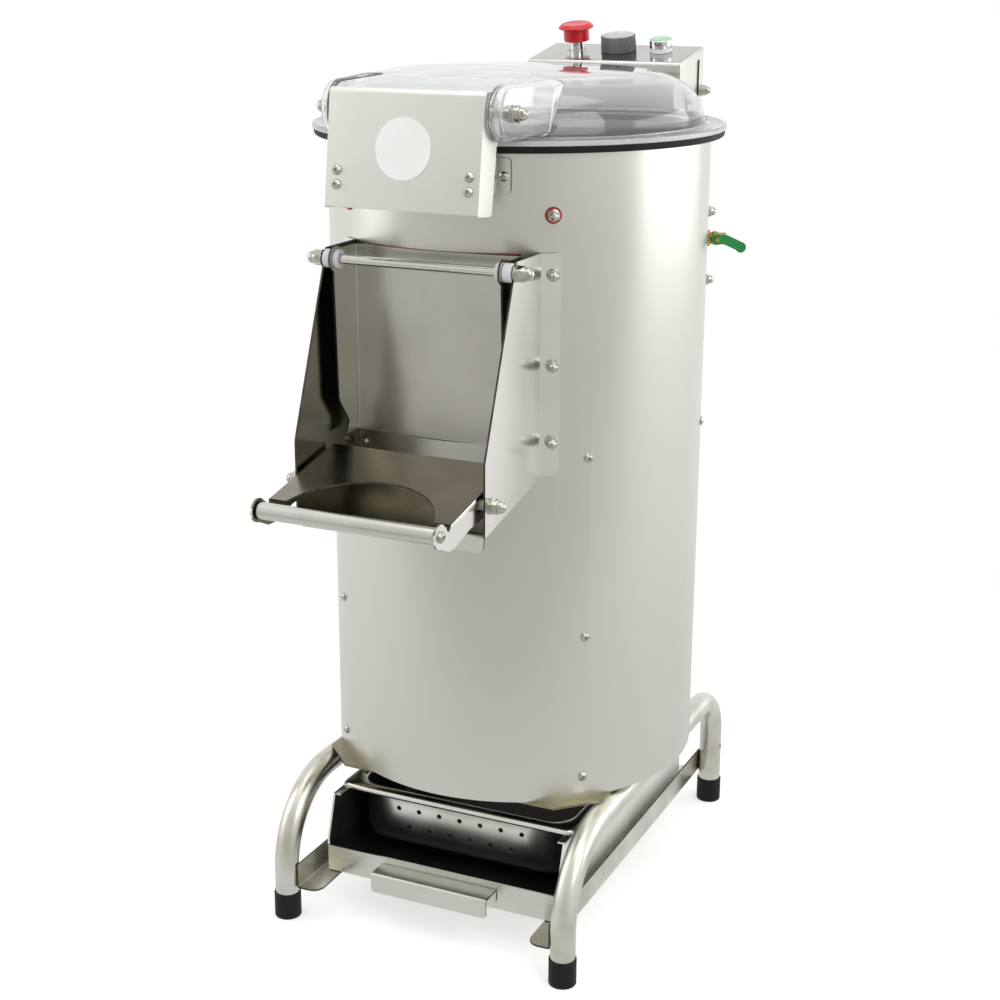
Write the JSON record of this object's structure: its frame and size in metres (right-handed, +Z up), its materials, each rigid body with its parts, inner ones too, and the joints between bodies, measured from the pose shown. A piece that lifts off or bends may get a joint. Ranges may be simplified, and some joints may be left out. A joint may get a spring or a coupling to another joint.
{
  "type": "electric potato peeler",
  "caption": "Upright steel drum peeler on a tube stand, with a clear hinged lid, a discharge door over a tipping chute tray, rear controls and a pull-out peel tray.",
  "frame": {"origin": "on the floor, under the middle of the overall box", "axes": "+Z up the drum; the discharge chute and lid hinge face -Y and the controls are at +Y; +X is the side with the water valve"},
  "size_m": [0.4094, 0.6714, 0.8904],
  "materials": {
    "drum_steel": "satin brushed stainless sheet, grain upright",
    "sheet_steel": "satin brushed stainless sheet",
    "cover_steel": "fine matt stainless sheet",
    "tube_steel": "satin drawn stainless tube",
    "polished_steel": "polished stainless",
    "bright_steel": "bright stainless fasteners",
    "shaft_steel": "ground steel",
    "liner_steel": "stippled stainless liner",
    "dark_tray_steel": "dark coated tray",
    "motor_casting": "cast aluminium",
    "abrasive_grit": "bonded grit",
    "clear_lid": "clear polycarbonate",
    "black_rubber": "moulded rubber",
    "black_plastic": "moulded plastic",
    "white_nylon": "turned nylon",
    "white_badge": "plain white disc",
    "grey_plastic": "moulded plastic",
    "grey_pipe": "drain pipe",
    "red_plastic": "moulded plastic",
    "green_plastic": "translucent moulded plastic",
    "green_vinyl": "dipped vinyl sleeve",
    "chrome_bezel": "chrome",
    "brass": "turned brass"
  },
  "bodies": {
    "base": {"left_leg_frame": "tube_steel", "right_leg_frame": "tube_steel", "cross_plates": "sheet_steel", "tray_rails": "sheet_steel", "foot_caps": "black_rubber", "frame_bolts": "bright_steel", "base_plate": "sheet_steel", "drum_shell": "drum_steel", "drum_screws": "bright_steel", "acorn_nuts": "bright_steel", "motor_plate": "sheet_steel", "motor_body": "motor_casting", "drive_belt": "black_rubber", "bearing_housing": "motor_casting", "bearings": "shaft_steel", "shaft_seal": "black_rubber", "chamber_floor": "sheet_steel", "waste_pipe": "grey_pipe", "wall_liner": "liner_steel", "chute_cheeks": "sheet_steel", "chute_floor": "sheet_steel", "hinge_rod": "polished_steel", "rod_bushings": "white_nylon", "rod_nuts": "bright_steel", "pivot_bolts": "bright_steel", "hinge_bracket": "sheet_steel", "hinge_cover": "cover_steel", "cover_screws": "bright_steel", "cover_badge": "white_badge", "lid_hinge_bolts": "bright_steel", "control_bracket": "sheet_steel", "control_box": "sheet_steel", "control_panel": "cover_steel", "panel_bolts": "bright_steel", "switch_bodies": "grey_plastic", "button_collars": "chrome_bezel", "cable_gland": "black_plastic", "wiring_conduit": "black_plastic", "inlet_valve": "brass"},
    "lid": {"lid": "clear_lid", "lid_seal": "black_rubber"},
    "door": {"discharge_door": "sheet_steel", "door_gasket": "black_rubber"},
    "chute_tray": {"chute_tray": "sheet_steel", "tray_bar": "tube_steel", "bar_rings": "black_plastic", "bar_screws": "bright_steel"},
    "peel_tray": {"peel_tray": "dark_tray_steel", "tray_handle": "sheet_steel"},
    "strainer": {"strainer_pan": "polished_steel"},
    "disc": {"main_shaft": "shaft_steel", "disc_pulley": "motor_casting", "abrasive_disc": "abrasive_grit", "disc_cap": "bright_steel"},
    "rotor": {"motor_rotor": "shaft_steel", "motor_pulley": "motor_casting"},
    "emergency_stop": {"estop_button": "red_plastic"},
    "timer": {"timer_knob": "grey_plastic"},
    "start": {"start_button": "green_plastic"},
    "valve_lever": {"valve_lever": "green_vinyl"}
  },
  "joints": [
    {"name": "lid_hinge", "type": "hinge", "parent": "base", "child": "lid", "pos_m": [0, -0.1783, 0.829], "axis": [1, 0, 0], "range_deg": [0, 100]},
    {"name": "door_hinge", "type": "hinge", "parent": "base", "child": "door", "pos_m": [0, -0.1855, 0.6917], "axis": [-1, 0, 0], "range_deg": [0, 70]},
    {"name": "chute_tray_pivot", "type": "hinge", "parent": "base", "child": "chute_tray", "pos_m": [0, -0.2375, 0.4917], "axis": [-1, 0, 0], "range_deg": [0, 30]},
    {"name": "peel_tray_slide", "type": "slide", "parent": "base", "child": "peel_tray", "axis": [0, -1, 0], "range_m": [0, 0.3]},
    {"name": "strainer_lift", "type": "slide", "parent": "peel_tray", "child": "strainer", "axis": [0, 0, 1], "range_m": [0, 0.022]},
    {"name": "disc_spin", "type": "hinge", "parent": "base", "child": "disc", "pos_m": [0, 0.0357, 0.5], "axis": [0, 0, 1], "continuous": true},
    {"name": "motor_spin", "type": "hinge", "parent": "base", "child": "rotor", "pos_m": [0, 0.1537, 0.25], "axis": [0, 0, 1], "continuous": true},
    {"name": "estop_press", "type": "slide", "parent": "base", "child": "emergency_stop", "axis": [0, 0.1771, -0.9842], "range_m": [0, 0.005], "stiffness_N_per_m": 800},
    {"name": "timer_turn", "type": "hinge", "parent": "base", "child": "timer", "pos_m": [0, 0.3047, 0.85864], "axis": [0, 0.1771, -0.9842], "range_deg": [0, 300]},
    {"name": "start_press", "type": "slide", "parent": "base", "child": "start", "axis": [0, 0.1771, -0.9842], "range_m": [0, 0.002], "stiffness_N_per_m": 500},
    {"name": "valve_turn", "type": "hinge", "parent": "base", "child": "valve_lever", "pos_m": [0.17215, 0.14327, 0.6834], "axis": [0.5299, -0.848, 0], "range_deg": [0, 90]}
  ],
  "couplings": [
    {"joint": "motor_spin", "follows": "disc_spin", "ratio": 4}
  ]
}
